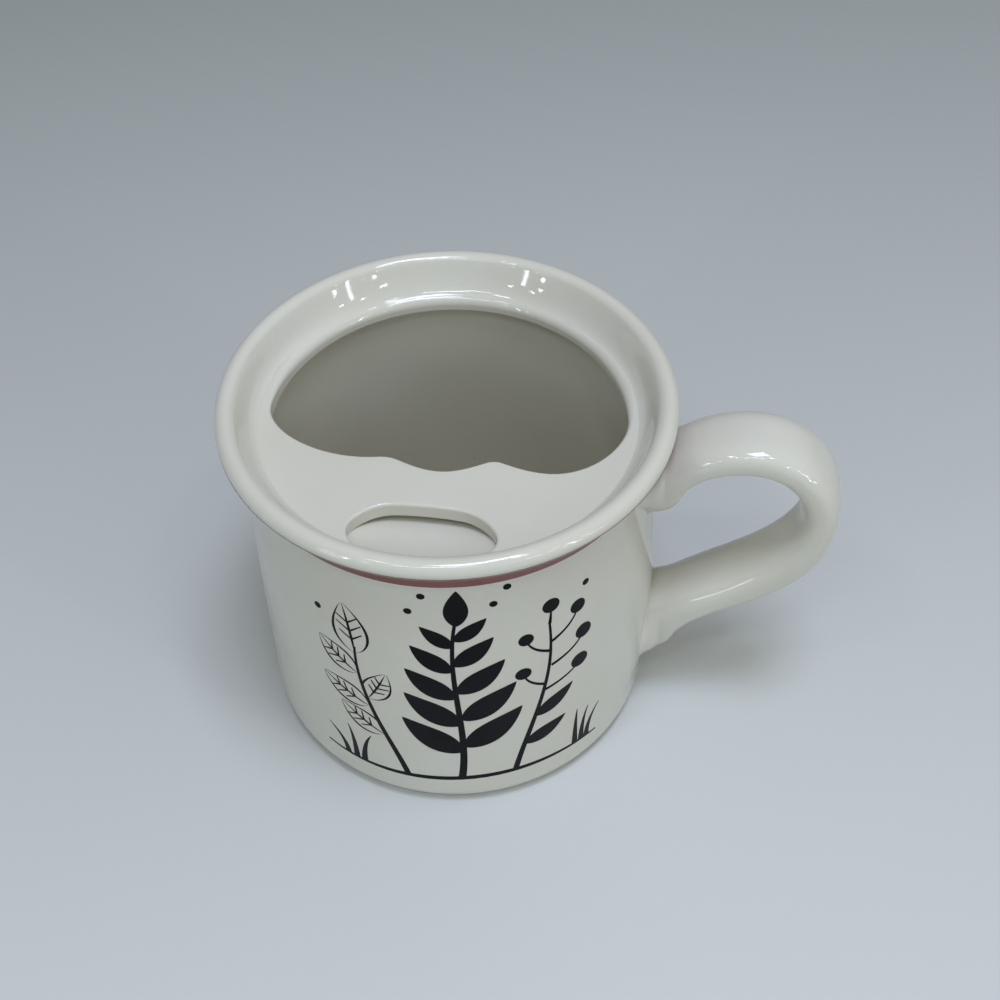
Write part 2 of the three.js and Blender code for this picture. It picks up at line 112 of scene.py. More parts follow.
class GuardSizes(bpy.types.PropertyGroup):
    """Sizes of the guard plate and its scoop."""

    top: length_of("Top", "Height of the plate's top", 0.0823)
    thickness: length_of("Thickness", "Thickness of the plate", 0.0036)
    radius: length_of("Radius", "Outer edge of the plate", 0.042)
    ledge: length_of("Ledge", "Ring left round the opening", 0.0034)
    opening_turn: angle_of("Opening turn", "How far the opening sits round towards the handle", 5)
    hole_turn: angle_of("Hole turn", "How far the drinking hole sits round towards the handle", 1.8)
    throat_edge: length_of("Throat edge", "Roll of the opening's edge at the back", 0.0022)
    scallop_edge: length_of("Scallop edge", "Rounding of the scalloped edge", 0.0007)
    point_round: length_of("Point round", "Rounding of the scallops' points", 0.0026)
    hole_edge: length_of("Hole edge", "Rounding of the drinking hole", 0.0006)
    hole_rim: length_of("Hole rim", "Ring left in front of the hole", 0.0016)
    hole_width: length_of("Hole width", "Drinking hole, side to side", 0.0302)
    hole_depth: length_of("Hole depth", "Drinking hole, front to back", 0.0138)
    scoop_depth: length_of("Scoop depth", "Plate top to the scoop's floor", 0.0059)
    scoop_length: length_of("Scoop length", "Front of the hole to the open end", 0.0216)
    scoop_wall: length_of("Scoop wall", "Thickness of the scoop", 0.0022)


class HandleSizes(bpy.types.PropertyGroup):
    """Sizes of the strap handle."""

    width: length_of("Width", "Width of the strap", 0.016)
    thickness: length_of("Thickness", "Thickness of the strap", 0.008)
    fullness: FloatProperty(
        name="Fullness", description="Power of the oval section, 2 for a plain ellipse", default=2.7
    )
    crown_out: length_of("Crown out", "Highest point, out from the neck", 0.0209)
    bow_height: length_of("Bow height", "Height of the outermost point", 0.0668)
    upper_top: length_of("Upper root top", "Top of the upper root", 0.0785)
    upper_low: length_of("Upper root end", "Lower end of the upper root", 0.0639)
    upper_depth: length_of("Upper root depth", "How far the upper root stands out", 0.0063)
    upper_toe: length_of("Upper toe", "Rounded end of the upper root", 0.0045)
    lower_top: length_of("Lower root top", "Top of the lower root", 0.0333)
    lower_low: length_of("Lower root end", "Lower end of the lower root", 0.0151)
    lower_depth: length_of("Lower root depth", "How far the lower root stands out", 0.007)
    lower_toe: length_of("Lower toe", "Rounded end of the lower root", 0.0052)
    knee_out: length_of("Knee out", "Bend under the leg, out from the wall", 0.0154)
    knee_lift: length_of("Knee lift", "Bend under the leg, above the root's end", 0.0169)
    flare: length_of("Flare", "Bead of slip at each side of a root", 0.0022)
    flare_out: length_of("Flare reach", "Out from the wall to the end of the bead", 0.0032)
    fillet: length_of("Fillet", "Slip smoothed in between a root and the wall", 0.0014)
    tuck: length_of("Tuck", "Widening of a root's hidden end", 0.0006)


class PrintSizes(bpy.types.PropertyGroup):
    """Place and scale of the leaf print."""

    centre: angle_of("Centre", "Middle of the print round from the drinking side", 11.5)
    ground: length_of("Ground", "Height of the print's ground line", 0.0105)
    scale: FloatProperty(name="Scale", description="Size of the print", default=1.0)


class CupColours(bpy.types.PropertyGroup):
    """Colours of the glaze, the line, the print and the table."""

    glaze: colour_of("Glaze", "Ivory glaze", 0.66, 0.65, 0.585)
    glaze_warm: colour_of("Warm glaze", "Glaze where it is thick", 0.635, 0.62, 0.535)
    # Painted shade: a darker, warmer colour for the inside of the cup that stands in for the shade there, not
    # pooled glaze.
    inside_painted_shade: colour_of("Inside glaze", "Glaze pooled inside the cup", 0.50, 0.475, 0.38)
    speck: colour_of("Speck", "Iron specks in the glaze", 0.09, 0.07, 0.05)
    line: colour_of("Line", "Fired line under the lip", 0.19, 0.046, 0.038)
    ink: colour_of("Print", "Black of the print", 0.004, 0.004, 0.005)
    table: colour_of("Table", "Pale table", 0.63, 0.645, 0.645)
    # Painted shade: the table's colour away from the light.
    table_far: colour_of("Table behind", "Table away from the light", 0.39, 0.42, 0.42)


# Shared shapes


def ease(value, low, high):
    """A share that runs smoothly from 0 at low to 1 at high."""
    share = max(0.0, min(1.0, (value - low) / (high - low)))
    return share * share * (3 - 2 * share)


def spaced(first, last, steps):
    """Evenly spaced values with both ends."""
    return [first + (last - first) * i / steps for i in range(steps + 1)]


def axis_point(radius, z, y=0.0):
    """A point at a radius and height in the handle's plane."""
    return Vector((AXIS_X + radius, y, z))


def chain(bm, points, closed=False):
    """Vertices joined one to the next by edges."""
    verts = [bm.verts.new(p) for p in points]
    ends = verts[1:] + verts[:1] if closed else verts[1:]
    for pair in zip(verts, ends):
        bm.edges.new(pair)
    return verts


def round_corner(bm, vert, offset, segments):
    """Rounds one corner of a wire outline."""
    bmesh.ops.bevel(
        bm,
        geom=[vert],
        offset=offset,
        offset_type="OFFSET",
        segments=segments,
        profile=0.5,
        affect="VERTICES",
        material=-1,
    )


def face_outwards(bm):
    """Turns every face of a closed form to the outside."""
    bmesh.ops.recalc_face_normals(bm, faces=bm.faces[:])


def turn(bm):
    """Turns a wire outline into a closed round form about the cup's axis."""
    bmesh.ops.spin(
        bm,
        geom=bm.verts[:] + bm.edges[:],
        cent=(AXIS_X, 0, 0),
        axis=(0, 0, 1),
        angle=2 * math.pi,
        steps=TURN_STEPS,
        use_merge=True,
    )
    bmesh.ops.remove_doubles(bm, verts=bm.verts[:], dist=WELD)
    face_outwards(bm)


def weave(bm, rows, around, place):
    """A skin of rows round a closed loop, each vertex set by its row and column."""
    made = bmesh.ops.create_grid(bm, x_segments=rows, y_segments=around, size=1)
    for v in made["verts"]:
        row, column = round((v.co.x + 1) / 2 * rows), round((v.co.y + 1) / 2 * around)
        v.co = place(row, column % around)
    bmesh.ops.remove_doubles(bm, verts=made["verts"], dist=WELD)


def keep_piece(bm, name, finish, stands_for=()):
    """Makes the finished object, rides it on the cup and hides the parts it stands for."""
    sharp = math.radians(50)
    mesh = bpy.data.meshes.new(name)
    bm.to_mesh(mesh)
    bm.free()
    mesh.materials.append(finish_of(finish))
    mesh.shade_smooth()
    mesh.set_sharp_from_angle(angle=sharp)
    piece = bpy.data.objects.new(name, mesh)
    bpy.context.collection.objects.link(piece)
    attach(piece, "root")
    if stands_for:
        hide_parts(*stands_for)
    return piece


def lip_roll(cup, first, last, steps):
    """Points round the rolled lip from one angle to another, as radius and height."""
    return [
        (cup.rim_radius - cup.lip_round * (1 - math.cos(a)), cup.height - cup.lip_round * (1 - math.sin(a)))
        for a in spaced(first, last, steps)
    ]


def flare_top(cup):
    """Radius and height where the flare runs into the rolled lip."""
    return lip_roll(cup, LIP_START, LIP_END, 1)[0]


def wall_radius(cup, z):
    """Outside of the wall: a slight lean inwards to the waist, then the flare."""
    up = (min(z, cup.neck_height) - cup.heel) / (cup.neck_height - cup.heel)
    drawn_in = cup.waist * ease(z, cup.waist_low, cup.waist_high)
    straight = cup.belly_radius + (cup.neck_radius - cup.belly_radius) * up - drawn_in
    if z <= cup.neck_height:
        return straight
    out, top = flare_top(cup)
    return straight + (out - straight) * ((z - cup.neck_height) / (top - cup.neck_height)) ** 2


def handle_swell(cup, z):
    """How far the wall stands out behind the handle: grows above the heel, fades towards the neck."""
    grow_from, grown = 0.006, 0.022
    fade_from, faded = 0.026, 0.082
    return cup.swell * ease(z, grow_from, grown) * (1 - ease(z, fade_from, faded))


# Materials


def feed(tree, socket, value):
    """Links a socket to another one, or gives it a number or colour."""
    if isinstance(value, bpy.types.NodeSocket):
        tree.links.new(value, socket)
    else:
        socket.default_value = value


def add_node(tree, kind, **values):
    """A node with its settings and input values."""
    node = tree.nodes.new(kind)
    for key, value in values.items():
        if key in node.inputs:
            feed(tree, node.inputs[key], value)
        else:
            setattr(node, key, value)
    return node


def maths(tree, operation, *values):
    """A sum worked out from sockets and numbers; returns its output."""
    node = add_node(tree, "ShaderNodeMath", operation=operation)
    for socket, value in zip(node.inputs, values):
        feed(tree, socket, value)
    return node.outputs["Value"]


def stretch(tree, value, low, high, to_low=0.0, to_high=1.0, easing="LINEAR"):
    """Stretches a value's range onto another one; returns its output."""
    node = add_node(tree, "ShaderNodeMapRange", interpolation_type=easing, Value=value)
    for key, number in (("From Min", low), ("From Max", high), ("To Min", to_low), ("To Max", to_high)):
        node.inputs[key].default_value = number
    return node.outputs["Result"]


def two_tone(tree, mask, first, second):
    """Mixes two colours by a mask and returns the colour output."""
    mix = add_node(tree, "ShaderNodeMix", data_type="RGBA")
    factor, first_colour, second_colour = (mix.inputs[i] for i in (0, 6, 7))
    feed(tree, factor, mask)
    feed(tree, first_colour, first)
    feed(tree, second_colour, second)
    return mix.outputs[2]


def noise(tree, place, scale, detail, **values):
    """Cloudy noise over a place; returns its output."""
    node = add_node(tree, "ShaderNodeTexNoise", Vector=place, Scale=scale, Detail=detail, **values)
    return node.outputs["Fac"]


def fired_skin():
    """Shared by all fired surfaces: cloudy tone, uneven gloss and the ripple of melted glaze."""
    name = "Fired skin"
    found = bpy.data.node_groups.get(name)
    if found:
        return found
    group = bpy.data.node_groups.new(name, "ShaderNodeTree")
    for socket in ("Cloud", "Gloss", "Ripple"):
        group.interface.new_socket(name=socket, in_out="OUTPUT", socket_type="NodeSocketFloat")
    place = add_node(group, "ShaderNodeTexCoord").outputs["Object"]
    cloud = noise(group, place, scale=38.0, detail=3.0, Roughness=0.55)
    gloss = noise(group, place, scale=160.0, detail=2.0)
    fine = noise(group, place, scale=420.0, detail=1.0)
    broad = noise(group, place, scale=70.0, detail=1.0)
    noise_low, noise_high = 0.3, 0.7
    smoothest, dullest = 0.04, 0.07
    fine_share = 0.12
    ripple = maths(group, "MULTIPLY", fine, fine_share)
    add_node(
        group,
        "NodeGroupOutput",
        Cloud=stretch(group, cloud, noise_low, noise_high),
        Gloss=stretch(group, gloss, noise_low, noise_high, smoothest, dullest),
        Ripple=maths(group, "ADD", broad, ripple),
    )
    return group


def fired_material(name):
    """A glossy material on the fired skin; returns its tree, its shader and the skin's cloudy mask."""
    material = bpy.data.materials.new(name)
    material.use_nodes = True
    tree = material.node_tree
    shader = tree.nodes["Principled BSDF"]
    shader.inputs["IOR"].default_value = 1.5
    skin = add_node(tree, "ShaderNodeGroup", node_tree=fired_skin())
    bump = add_node(tree, "ShaderNodeBump", Strength=0.05, Distance=0.0004, Height=skin.outputs["Ripple"])
    tree.links.new(skin.outputs["Gloss"], shader.inputs["Roughness"])
    tree.links.new(bump.outputs["Normal"], shader.inputs["Normal"])
    return material, tree, shader, skin.outputs["Cloud"]


def ivory_glaze(name, colours):
    """Ivory glaze, cloudy where it lies thicker, darker inside the cup as painted shade, with a few iron
    specks.
    """
    material, tree, shader, cloud = fired_material(name)
    tone = two_tone(tree, cloud, colours.glaze, colours.glaze_warm)
    inside = add_node(tree, "ShaderNodeAttribute", attribute_name="inside")
    # Painted shade: the inside of the cup takes a darker, warmer colour that stands in for the shade inside
    # it.
    with_painted_shade = two_tone(tree, inside.outputs["Fac"], tone, colours.inside_painted_shade)
    place = add_node(tree, "ShaderNodeTexCoord").outputs["Object"]
    cells = add_node(tree, "ShaderNodeTexVoronoi", Vector=place, Scale=95.0)
    speck_edge, speck_core = 0.055, 0.03
    near = stretch(tree, cells.outputs["Distance"], speck_edge, speck_core)
    cells_without = 0.93
    pick = add_node(tree, "ShaderNodeSeparateColor", Color=cells.outputs["Color"])
    few = maths(tree, "GREATER_THAN", pick.outputs["Red"], cells_without)
    speck = maths(tree, "MULTIPLY", near, few)
    tree.links.new(two_tone(tree, speck, with_painted_shade, colours.speck), shader.inputs["Base Color"])
    return material


def red_line(name, colours):
    """Dusty red enamel, a little paler where it is thin."""
    material, tree, shader, cloud = fired_material(name)
    show_through = 0.12
    thin = [c + show_through * (g - c) for c, g in zip(colours.line, colours.glaze)]
    tree.links.new(two_tone(tree, cloud, colours.line, thin), shader.inputs["Base Color"])
    return material


def black_print(name, colours):
    """Black transfer sunk in the glaze, a little greyer where it is thin."""
    material, tree, shader, cloud = fired_material(name)
    shader.inputs["Specular IOR Level"].default_value = 0.06
    paler = 2.2
    thin = [*(c * paler for c in colours.ink[:3]), 1.0]
    tree.links.new(two_tone(tree, cloud, colours.ink, thin), shader.inputs["Base Color"])
    return material


def table_top(name, colours):
    """Pale matt table, darker away from the light by painted shade."""
    material = bpy.data.materials.new(name)
    material.use_nodes = True
    tree = material.node_tree
    shader = tree.nodes["Principled BSDF"]
    shader.inputs["Roughness"].default_value = 0.6
    shader.inputs["Specular IOR Level"].default_value = 0.2
    place = add_node(tree, "ShaderNodeTexCoord").outputs["Object"]
    split = add_node(tree, "ShaderNodeSeparateXYZ", Vector=place)
    # Painted shade: the table darkens towards the back and left, away from the light.
    sideways = -0.35
    away = maths(tree, "MULTIPLY_ADD", split.outputs["X"], sideways, split.outputs["Y"])
    near_edge, far_edge = -0.12, 0.42
    far = stretch(tree, away, near_edge, far_edge)
    cloud = noise(tree, place, scale=7.0, detail=2.0)
    paler = 1.04
    pale = [min(1.0, c * paler) for c in colours.table]
    tone = two_tone(tree, cloud, colours.table, pale)
    tree.links.new(two_tone(tree, far, tone, colours.table_far), shader.inputs["Base Color"])
    return material


FINISHES = {
    "Ivory glaze": ivory_glaze,
    "Dusty red line": red_line,
    "Black print": black_print,
    "Pale table": table_top,
}


def finish_of(name):
    """The material of that name, made once."""
    return bpy.data.materials.get(name) or FINISHES[name](name, bpy.context.scene.cup_colours)


# Body


def collar_curves(cup, guard):
    """The slope inside the lip, first as it meets the plate and then as it falls into the throat."""
    r, z = lip_roll(cup, LIP_START, LIP_END, 1)[1]
    start = Vector((r, 0, z))
    lean = Vector((-math.sin(LIP_END), 0, math.cos(LIP_END)))
    collar_lead, throat_lead, throat_tail = 0.0028, 0.0042, 0.0016
    crease = Vector((0.0020, 0, 0.0010))
    end = Vector((guard.radius - PLATE_COVER, 0, guard.top + LAYER))
    collar = interpolate_bezier(start, start + lean * collar_lead, end + crease, end, COLLAR_POINTS)
    fall = math.radians(28)
    crest = guard.radius - guard.ledge + guard.throat_edge
    drop = guard.throat_edge * (1 - math.cos(fall))
    end = Vector((crest - guard.throat_edge * math.sin(fall), 0, guard.top - drop + LAYER))
    tail = Vector((math.cos(fall), 0, math.sin(fall))) * throat_tail
    throat = interpolate_bezier(start, start + lean * throat_lead, end + tail, end, COLLAR_POINTS)
    return collar, throat


def off_axis(v):
    """A vertex's flat reach from the cup's axis."""
    return Vector((v.co.x - AXIS_X, v.co.y, 0))


def slope_throat(bm, collar, throat):
    """Lets the collar fall into the throat at the back, between two angles from the drinking side."""
    slope_from, slope_full = 100, 150
    for v in bm.verts:
        radial = off_axis(v)
        here = Vector((radial.length, v.co.z))
        near = min(range(COLLAR_POINTS), key=lambda i: (collar[i].xz - here).length)
        if (collar[near].xz - here).length > 4 * LAYER:
            continue
        around = abs(math.degrees(math.atan2(radial.x, -radial.y)))
        place = collar[near].lerp(throat[near], ease(around, slope_from, slope_full))
        step = radial.normalized() * place.x
        v.co = (AXIS_X + step.x, step.y, place.z)


def swell_wall(bm, cup):
    """Thickens the outside of the wall behind the handle, between two angles from the handle."""
    swell_edge, swell_full = 33, 14
    for v in bm.verts:
        radial = off_axis(v)
        if radial.length > cup.belly_radius - cup.wall / 2 and v.co.z < cup.neck_height:
            around = abs(math.degrees(math.atan2(radial.y, radial.x)))
            v.co += radial.normalized() * handle_swell(cup, v.co.z) * ease(around, swell_edge, swell_full)


class CUP_OT_turn_body(bpy.types.Operator):
    """Turns the cup: foot, heel, wall, flare, rolled lip, collar, shoulder and inside"""

    bl_idname = "cup.turn_body"
    bl_label = "Turn the body"

    def execute(self, context):
        cup = context.scene.cup_sizes
        guard = context.scene.guard_sizes
        bm = bmesh.new()
        wall_steps, flare_steps, lip_steps = 24, 10, 22
        recess_round, foot_round = 0.0008, 0.0005
        foot = cup.belly_radius - cup.heel - cup.foot_width
        inner_belly = cup.belly_radius - cup.wall
        inner_neck = cup.neck_radius - cup.wall
        seat_z = guard.top - guard.thickness - 2 * LAYER
        wall = spaced(cup.heel, cup.neck_height, wall_steps)[1:-1]
        flare = spaced(cup.neck_height, flare_top(cup)[1], flare_steps)
        collar, throat = collar_curves(cup, guard)
        outline = [
            (0, cup.foot_recess),
            (foot - cup.foot_recess, cup.foot_recess),
            (foot, 0),
            (wall_radius(cup, 0), 0),
            *[(wall_radius(cup, z), z) for z in wall + flare],
            *lip_roll(cup, LIP_START, LIP_END, lip_steps)[1:],
            *[(p.x, p.z) for p in collar[1:]],
            (guard.radius - PLATE_COVER, guard.top - LAYER),
            (guard.radius + LAYER, guard.top - 2 * LAYER),
            (guard.radius + LAYER, seat_z),
            (inner_neck, seat_z),
            (inner_belly, cup.floor_height),
            (0, cup.floor_height),
        ]
        verts = chain(bm, [axis_point(r, z) for r, z in outline])
        round_corner(bm, verts[1], recess_round, segments=3)
        round_corner(bm, verts[2], foot_round, segments=3)
        round_corner(bm, verts[3], cup.heel, segments=10)
        round_corner(bm, verts[-2], cup.floor_fillet, segments=12)
        turn(bm)
        slope_throat(bm, collar, throat)
        swell_wall(bm, cup)
        # The inside mask picks the inner wall and floor, which take painted shade in the glaze.
        inside = bm.verts.layers.float.new("inside")
        for v in bm.verts:
            in_depth = cup.floor_height - LAYER < v.co.z < seat_z - LAYER
            v[inside] = float(in_depth and off_axis(v).length < inner_belly + LAYER)
        keep_piece(bm, "cup_wall", "Ivory glaze", ["cup_body", "guard_slip"])
        return {"FINISHED"}


# Guard


def bend(start, end, leave, arrive, steps):
    """A curve whose ends lead by shares of its reach, without its first point."""
    reach = end - start
    mix = [start + Vector([r * s for r, s in zip(reach, share)]) for share in (leave, arrive)]
    return interpolate_bezier(start, mix[0], mix[1], end, steps + 1)[1:]


def other_way(leave, arrive):
    """The shares of the same curve run from its other end."""
    return [1 - s for s in arrive], [1 - s for s in leave]


def arc(radius, first, last, steps):
    """Points round the plate's middle."""
    return [Vector((radius * math.cos(a), radius * math.sin(a), 0)) for a in spaced(first, last, steps)]


def opening_outline(guard):
    """Main opening: round at the back, three hand-cut scallops at the front."""
    radius = guard.radius - guard.ledge
    corner_y = 1.0 * MM
    corner = math.asin(corner_y / radius)
    points = arc(radius, corner, math.pi - corner, 56)
    left_wing, right_wing = Vector((-17, -13.3, 0)) * MM, Vector((22.7, -15.6, 0)) * MM
    left_peak, right_peak = Vector((-11.2, -12.7, 0)) * MM, Vector((11, -12.5, 0)) * MM
    dip = Vector((0, -16.4, 0)) * MM
    corner_to_wing = (0, 0.5, 0), (0.48, 1, 0)
    wing_to_peak = (0.38, 0, 0), (0.73, 0.58, 0)
    peak_to_dip = (0.33, 0.45, 0), (0.64, 1, 0)
    points += bend(points[-1], left_wing, *corner_to_wing, 16)
    points += bend(left_wing, left_peak, *wing_to_peak, 10)
    points += bend(left_peak, dip, *peak_to_dip, 12)
    points += bend(dip, right_peak, *other_way(*peak_to_dip), 12)
    points += bend(right_peak, right_wing, *other_way(*wing_to_peak), 12)
    points += bend(right_wing, points[0], *other_way(*corner_to_wing), 16)
    pull = 0.6
    for tip in (left_peak, right_peak):
        near = [i for i, p in enumerate(points) if (p - tip).length < guard.point_round]
        a, b = points[near[0]], points[near[-1]]
        points[near[0] : near[-1] + 1] = interpolate_bezier(a, a.lerp(tip, pull), b.lerp(tip, pull), b, 12)
    return points[:-1]


def hole_outline(guard):
    """Drinking hole: its front follows the wall, its back is nearly straight and its ends are round."""
    radius = guard.radius - guard.hole_rim
    half = guard.hole_width / 2
    front_share, widest_share = 0.79, 0.52
    front = math.asin(front_share * half / radius)
    points = arc(radius, -math.pi / 2 - front, -math.pi / 2 + front, 20)
    back = guard.hole_depth - radius
    widest = back - widest_share * guard.hole_depth
    sag, arch = 0.0004, Vector((0, 0.0006, 0))
    right, left = (Vector((hand * half, widest, 0)) for hand in (1, -1))
    right_back, left_back = (Vector((hand * half / 2, back - sag, 0)) for hand in (1, -1))
    front_to_side = (0.52, 0.15, 0), (1, 0.55, 0)
    side_to_back = (0, 0.39, 0), (0.53, 0.905, 0)
    points += bend(points[-1], right, *front_to_side, 12)
    points += bend(right, right_back, *side_to_back, 20)
    inner = [right_back.lerp(left_back, share) + arch for share in (0.27, 0.73)]
    points += interpolate_bezier(right_back, *inner, left_back, 15)[1:]
    points += bend(left_back, left, *other_way(*side_to_back), 20)
    points += bend(left, points[0], *other_way(*front_to_side), 12)
    return points[:-1]


def roll_edge(bm, outline, thickness, front_edge, back_edge, under_edge):
    """Rolls the plate's edge along a cut: over the top, down the cut and under the lower edge."""
    roll_steps = 10
    around = len(outline)
    front_y, back_y = -0.004, 0.018

    def roll_point(row, column):
        here = outline[column]
        way = outline[(column + 1) % around] - outline[column - 1]
        into = Vector((way.y, -way.x, 0)).normalized()
        if row <= roll_steps:
            a = math.pi / 2 * row / roll_steps
            top_edge = front_edge + (back_edge - front_edge) * ease(here.y, front_y, back_y)
            z = thickness - top_edge * (1 - math.cos(a))
            return here + into * top_edge * (1 - math.sin(a)) + Vector((0, 0, z))
        a = math.pi / 2 * (row - roll_steps - 1) / roll_steps
        return here + into * under_edge * (1 - math.cos(a)) + Vector((0, 0, under_edge * (1 - math.sin(a))))

    weave(bm, 2 * roll_steps + 1, around, roll_point)


class CUP_OT_cut_guard(bpy.types.Operator):
    """Cuts the guard plate with its scalloped opening and drinking hole, edges rolled over"""

    bl_idname = "cup.cut_guard"
    bl_label = "Cut the guard"

    def execute(self, context):
        guard = context.scene.guard_sizes
        bm = bmesh.new()
        faces_z = (0, guard.thickness)
        edges = []
        for z in faces_z:
            ring = bmesh.ops.create_circle(
                bm, radius=guard.radius, segments=TURN_STEPS, matrix=Matrix.Translation((0, 0, z))
            )
            edges += {e for v in ring["verts"] for e in v.link_edges}
        bmesh.ops.bridge_loops(bm, edges=edges)
        under_edge = guard.scallop_edge / 2
        for outline, turned, front_edge, back_edge in (
            (opening_outline(guard), guard.opening_turn, guard.scallop_edge, guard.throat_edge),
            (hole_outline(guard), guard.hole_turn, guard.hole_edge, guard.hole_edge),
        ):
            spin = Matrix.Rotation(turned, 3, "Z")
            cut = [spin @ p for p in outline]
            roll_edge(bm, cut, guard.thickness, front_edge, back_edge, under_edge)
        for z in faces_z:
            rims = [e for e in bm.edges if e.is_boundary and all(abs(v.co.z - z) < WELD for v in e.verts)]
            filled = bmesh.ops.triangle_fill(bm, use_beauty=True, edges=rims)
            if not any(isinstance(g, bmesh.types.BMFace) for g in filled["geom"]):
                raise RuntimeError("the guard's outlines don't close")
        face_outwards(bm)
        bmesh.ops.translate(bm, verts=bm.verts[:], vec=(AXIS_X, 0, guard.top - guard.thickness))
        plate = keep_piece(bm, "moustache_guard_plate", "Ivory glaze", ["moustache_guard"])
        weigh = plate.modifiers.new("Broad faces first", "WEIGHTED_NORMAL")
        weigh.keep_sharp = True
        weigh.weight = 80
        return {"FINISHED"}


class CUP_OT_press_scoop(bpy.types.Operator):
    """Presses the hollow scoop that leads the drink up to the hole"""

    bl_idname = "cup.press_scoop"
    bl_label = "Press the scoop"

    def execute(self, context):
        guard = context.scene.guard_sizes
        bm = bmesh.new()
        front = guard.radius - guard.hole_rim
        end = front - guard.scoop_length
        half = guard.hole_width / 2 + guard.scoop_wall
        low = guard.top - guard.scoop_depth
        brim = guard.top - 2 * guard.hole_edge
        overlap = 0.0004
        under = guard.top - guard.thickness + overlap
        side_power = 5
        # A floor point lies first * along + second * along**2 out from the open end
        first, second = 4 / 3 * guard.scoop_length, -guard.scoop_length / 3
        made = bmesh.ops.create_grid(bm, x_segments=56, y_segments=48, size=1)
        for v in made["verts"]:
            x = v.co.x * half
            y = -end - (math.sqrt(front**2 - x * x) - end) * (v.co.y + 1) / 2
            out = max(0.0, min(math.hypot(x, y) - end, guard.scoop_length))
            along = (math.sqrt(first**2 + 4 * second * out) - first) / (2 * second)
            floor = low + (brim - low) * along**2
            side = abs(v.co.x) ** side_power
            v.co = (x, y, floor + max(0.0, under - floor) * side)
        spin = Matrix.Rotation(guard.hole_turn, 3, "Z")
        bmesh.ops.rotate(bm, verts=bm.verts[:], cent=(0, 0, 0), matrix=spin)
        bmesh.ops.translate(bm, verts=bm.verts[:], vec=(AXIS_X, 0, 0))
        face_outwards(bm)
        if sum(f.normal.z for f in bm.faces) < 0:
            bmesh.ops.reverse_faces(bm, faces=bm.faces[:])
        bmesh.ops.solidify(bm, geom=bm.faces[:], thickness=guard.scoop_wall)
        face_outwards(bm)
        keep_piece(bm, "drinking_scoop", "Ivory glaze")
        return {"FINISHED"}


# Handle


def side_line(start, end, leave, arrive):
    """A curve of the handle's side view, as radius and height points."""
    steps = 60
    start, end = Vector((*start, 0)), Vector((*end, 0))
    return [start, *bend(start, end, (*leave, 0), (*arrive, 0), steps)]


def at_radius(line, r):
    """The point at a radius on a line whose radius runs one way."""
    for a, b in zip(line, line[1:]):
        if (a.x - r) * (b.x - r) <= 0 and a.x != b.x:
            return a.lerp(b, (r - a.x) / (b.x - a.x))
    return min(line[0], line[-1], key=lambda p: abs(p.x - r)).copy()


def even_steps(line, steps):
    """The points at even steps along a line, without its last point."""
    lengths = [0.0]
    for a, b in zip(line, line[1:]):
        lengths.append(lengths[-1] + (b - a).length)
    points = []
    i = 0
    for k in range(steps):
        goal = lengths[-1] * k / steps
        while lengths[i + 1] < goal:
            i += 1
        points.append(line[i].lerp(line[i + 1], (goal - lengths[i]) / (lengths[i + 1] - lengths[i])))
    return points


def root_outs(depth):
    """Distances off the wall of a root's sections: two inside the wall, then closest near it."""
    steps, sink = 18, 5e-5
    return [depth * (i / steps) ** 2 if i > 0 else sink * i**3 for i in range(-2, steps + 1)]


def handle_sections(cup, strap):
    """Sections from the upper root to the lower one: outer and inner point, and distance off the wall."""
    half = strap.thickness / 2
    bow = HANDLE_HIGH.x - AXIS_X - half
    crown = cup.neck_radius + strap.crown_out
    crown_z = HANDLE_HIGH.z - half
    bow_z = strap.bow_height
    upper_wall, lower_wall = wall_radius(cup, strap.upper_low), wall_radius(cup, strap.lower_low)
    upper_toe = (upper_wall + strap.upper_depth, strap.upper_low + strap.upper_toe)
    lower_toe = (lower_wall + strap.lower_depth, strap.lower_low + strap.lower_toe)
    knee = (lower_wall + strap.knee_out, strap.lower_low + strap.knee_lift)
    turned = 0.55  # share that makes a quarter turn round

    rise = side_line((upper_wall, strap.upper_top), (crown, crown_z + half), (0.29, 0.61), (0.65, 1))
    upper_end = side_line((upper_wall, strap.upper_low), upper_toe, (turned, 0), (0.9, 1 - turned))
    under_crown = side_line(upper_toe, (crown, crown_z - half), (0.03, 0.5), (0.38, 1))
    back = side_line((crown, crown_z + half), (bow + half, bow_z), (turned, 0), (1, 1 - turned))
    under_back = side_line((crown, crown_z - half), (bow - half, bow_z), (turned, 0), (1, 1 - turned))
    leg = side_line((bow + half, bow_z), knee, (0, 0.56), (0.48, 0.74))
    shin = side_line(knee, lower_toe, (0.53, 0.36), (0.87, 0.59))
    lower_end = side_line(lower_toe, (lower_wall, strap.lower_low), (0.1, turned), (1 - turned, 1))
    calf = side_line((bow - half, bow_z), (lower_wall, strap.lower_top), (0, 0.41), (0.62, 0.764))

    rise_out = [at_radius(rise, upper_toe[0]), *[p for p in rise if p.x > upper_toe[0]]]
    calf_out = [*[p for p in calf if p.x > lower_toe[0]], at_radius(calf, lower_toe[0])]
    sections = []
    for out in root_outs(strap.upper_depth)[:-1]:
        r = upper_wall + max(out, 0)
        sections.append((at_radius(rise, r), at_radius(upper_end, r), out))
    for outer, inner, steps in (
        (rise_out, under_crown, 30),
        (back, under_back, 34),
        (leg + shin[1:], calf_out, 60),
    ):
        for a, b in zip(even_steps(outer, steps), even_steps(inner, steps)):
            sections.append((a, b, None))
    for out in reversed(root_outs(strap.lower_depth)):
        r = lower_wall + max(out, 0)
        pushed = r + handle_swell(cup, strap.lower_top) * ease(out, strap.lower_depth, 0)
        sections.append((at_radius(lower_end, r), at_radius(calf, pushed), out))
    return sections


